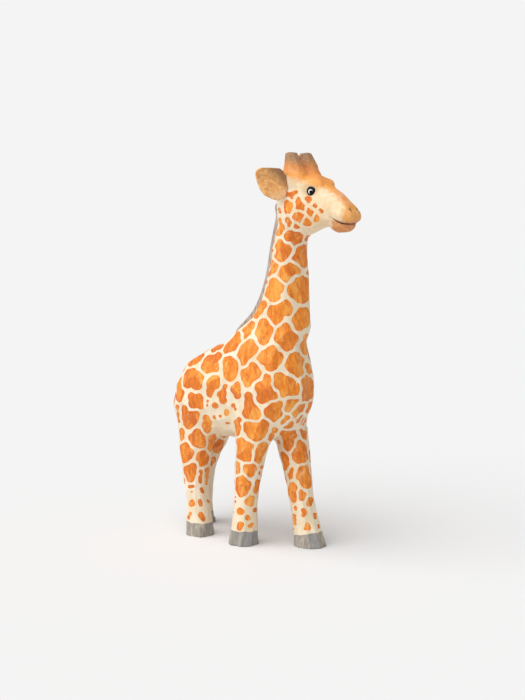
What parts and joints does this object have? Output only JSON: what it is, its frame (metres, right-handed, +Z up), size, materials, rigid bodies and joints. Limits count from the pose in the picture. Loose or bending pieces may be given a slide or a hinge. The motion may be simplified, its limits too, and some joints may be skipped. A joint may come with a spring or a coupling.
{
  "type": "carved giraffe statue",
  "caption": "Standing giraffe figure, hand-carved from dowelled wood blanks and painted with orange patches on cream, grey hooves and mane.",
  "frame": {"origin": "middle of the figure's footprint box, on the floor that the hooves stand on", "axes": "+X towards the head, +Y the animal's left side, +Z up"},
  "size_m": [0.128, 0.0522, 0.212],
  "materials": {
    "hide": "cream paint with orange patches, knife-cut, satin",
    "face": "cream and orange paint, knife-cut, satin",
    "ear": "ochre wash with grey-brown shading, matt",
    "horn": "grey-brown wash fading to orange, matt",
    "mane": "grey-taupe paint, matt",
    "tail": "orange paint with a grey-brown tuft, matt",
    "eye": "gloss black paint with a white crescent",
    "beech": "bare turned wood"
  },
  "bodies": {
    "root": {"torso": "hide", "neck": "hide", "head": "face", "ear_left": "ear", "ear_right": "ear", "horn_left": "horn", "horn_right": "horn", "foreleg_left": "hide", "foreleg_right": "hide", "hindleg_left": "hide", "hindleg_right": "hide", "mane": "mane", "tail": "tail", "eye_left": "eye", "eye_right": "eye", "dowel_neck": "beech", "dowel_head": "beech", "dowel_foreleg_left": "beech", "dowel_foreleg_right": "beech", "dowel_hindleg_left": "beech", "dowel_hindleg_right": "beech"}
  },
  "joints": []
}
